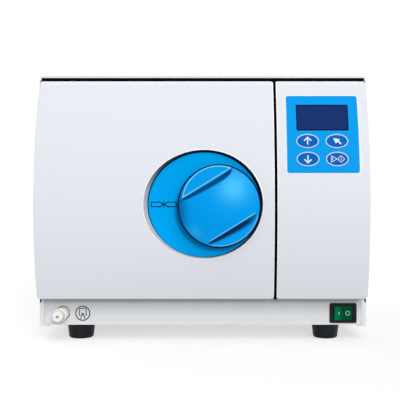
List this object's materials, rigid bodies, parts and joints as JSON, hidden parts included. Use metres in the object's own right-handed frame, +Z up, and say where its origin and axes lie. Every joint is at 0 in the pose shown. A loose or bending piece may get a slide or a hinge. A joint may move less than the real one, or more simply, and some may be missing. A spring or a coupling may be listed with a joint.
{
  "type": "autoclave",
  "caption": "Benchtop steam steriliser: white casing, curved side-hinged door with a blue turning knob lock, keypad panel, round chamber with trays.",
  "frame": {"origin": "middle of the whole object's footprint, on the surface it stands on", "axes": "+X to the right seen from the front, +Y towards the back, +Z up"},
  "size_m": [0.445, 0.59, 0.3633],
  "materials": {
    "cover_paint": "fine powder coat, off-white",
    "fascia_plastic": "satin off-white moulding",
    "frame_plastic": "black moulding",
    "foot_rubber": "black rubber",
    "knob_plastic": "bright blue, satin",
    "keypad_film": "blue printed film",
    "key_film": "darker blue film",
    "display_tint": "dark blue window",
    "stainless": "brushed stainless",
    "zinc_plate": "zinc plated sheet",
    "shaft_steel": "turned steel",
    "brass": "turned brass",
    "silicone": "translucent silicone",
    "blanket": "glass fibre blanket",
    "nozzle_plastic": "off-white acetal",
    "switch_plastic": "black",
    "switch_green": "green",
    "tank_plastic": "translucent white",
    "board_resin": "green circuit board",
    "cast_aluminium": "cast",
    "winding": "varnished laminations"
  },
  "bodies": {
    "chassis": {"case_cover": "cover_paint", "base_front_panel": "cover_paint", "rear_panel": "cover_paint", "lid_hinge": "stainless", "control_fascia": "fascia_plastic", "front_frame": "frame_plastic", "rubber_feet": "foot_rubber", "keypad_overlay": "keypad_film", "display_lens": "display_tint", "display_module": "board_resin", "keypad_board": "board_resin", "power_board": "board_resin", "chamber_shell": "stainless", "chamber_flange": "stainless", "tray_rack": "stainless", "trays": "stainless", "band_heaters": "stainless", "base_pan": "zinc_plate", "tank_shelf": "zinc_plate", "chamber_saddles": "zinc_plate", "hinge_bracket": "zinc_plate", "striker": "zinc_plate", "hinge_pin": "shaft_steel", "fan_guard": "shaft_steel", "safety_valve": "brass", "valve_block": "brass", "insulation_jacket": "blanket", "drain_nozzle": "nozzle_plastic", "drain_nut": "nozzle_plastic", "switch_housing": "switch_plastic", "mains_inlet": "switch_plastic", "fan_housing": "switch_plastic", "clean_water_tank": "tank_plastic", "used_water_tank": "tank_plastic", "air_filter": "tank_plastic", "steam_generator": "cast_aluminium", "vacuum_pump": "cast_aluminium", "condenser": "cast_aluminium", "water_pump": "switch_plastic", "transformer": "winding"},
    "door": {"door_shell": "fascia_plastic", "door_dish": "knob_plastic", "door_liner": "frame_plastic", "door_beam": "zinc_plate", "plate_stud": "shaft_steel", "door_plate": "stainless", "door_gasket": "silicone", "spindle_bush": "brass", "bar_guides": "zinc_plate"},
    "knob": {"lock_knob": "knob_plastic", "lock_spindle": "shaft_steel", "lock_pinion": "shaft_steel"},
    "lock_bar": {"lock_bar": "shaft_steel"},
    "rocker": {"rocker_paddle": "switch_green"},
    "key_up": {"key_up": "key_film"},
    "key_select": {"key_select": "key_film"},
    "key_down": {"key_down": "key_film"},
    "key_start": {"key_start": "key_film"},
    "tank_lid": {"tank_lid": "fascia_plastic"},
    "fan_rotor": {"fan_rotor": "switch_plastic"}
  },
  "joints": [
    {"name": "door_hinge", "type": "hinge", "parent": "chassis", "child": "door", "pos_m": [-0.2095, -0.251, 0.19], "axis": [0, 0, -1], "range_deg": [0, 105]},
    {"name": "knob_turn", "type": "hinge", "parent": "door", "child": "knob", "pos_m": [0.02265, -0.264, 0.182], "axis": [0, 1, 0], "range_deg": [0, 211.3]},
    {"name": "lock_bar_slide", "type": "slide", "parent": "door", "child": "lock_bar", "axis": [1, 0, 0], "range_m": [0, 0.0332]},
    {"name": "power_rocker", "type": "hinge", "parent": "chassis", "child": "rocker", "pos_m": [0.191, -0.232, 0.036], "axis": [0, 0, -1], "range_deg": [0, 14]},
    {"name": "key_up_press", "type": "slide", "parent": "chassis", "child": "key_up", "axis": [0, 0.9764, -0.2157], "range_m": [0, 0.0005], "stiffness_N_per_m": 1500, "springref_m": -0.0005},
    {"name": "key_select_press", "type": "slide", "parent": "chassis", "child": "key_select", "axis": [0, 0.9764, -0.2157], "range_m": [0, 0.0005], "stiffness_N_per_m": 1500, "springref_m": -0.0005},
    {"name": "key_down_press", "type": "slide", "parent": "chassis", "child": "key_down", "axis": [0, 0.9877, -0.1562], "range_m": [0, 0.0005], "stiffness_N_per_m": 1500, "springref_m": -0.0005},
    {"name": "key_start_press", "type": "slide", "parent": "chassis", "child": "key_start", "axis": [0, 0.9877, -0.1562], "range_m": [0, 0.0005], "stiffness_N_per_m": 1500, "springref_m": -0.0005},
    {"name": "tank_lid_hinge", "type": "hinge", "parent": "chassis", "child": "tank_lid", "pos_m": [0.1503, 0.243, 0.3613], "axis": [-1, 0, 0], "range_deg": [0, 100]},
    {"name": "fan_spin", "type": "hinge", "parent": "chassis", "child": "fan_rotor", "pos_m": [-0.13, 0.269, 0.12], "axis": [0, 1, 0], "continuous": true}
  ],
  "couplings": [
    {"joint": "lock_bar_slide", "follows": "knob_turn", "m_per_rad": 0.009}
  ]
}
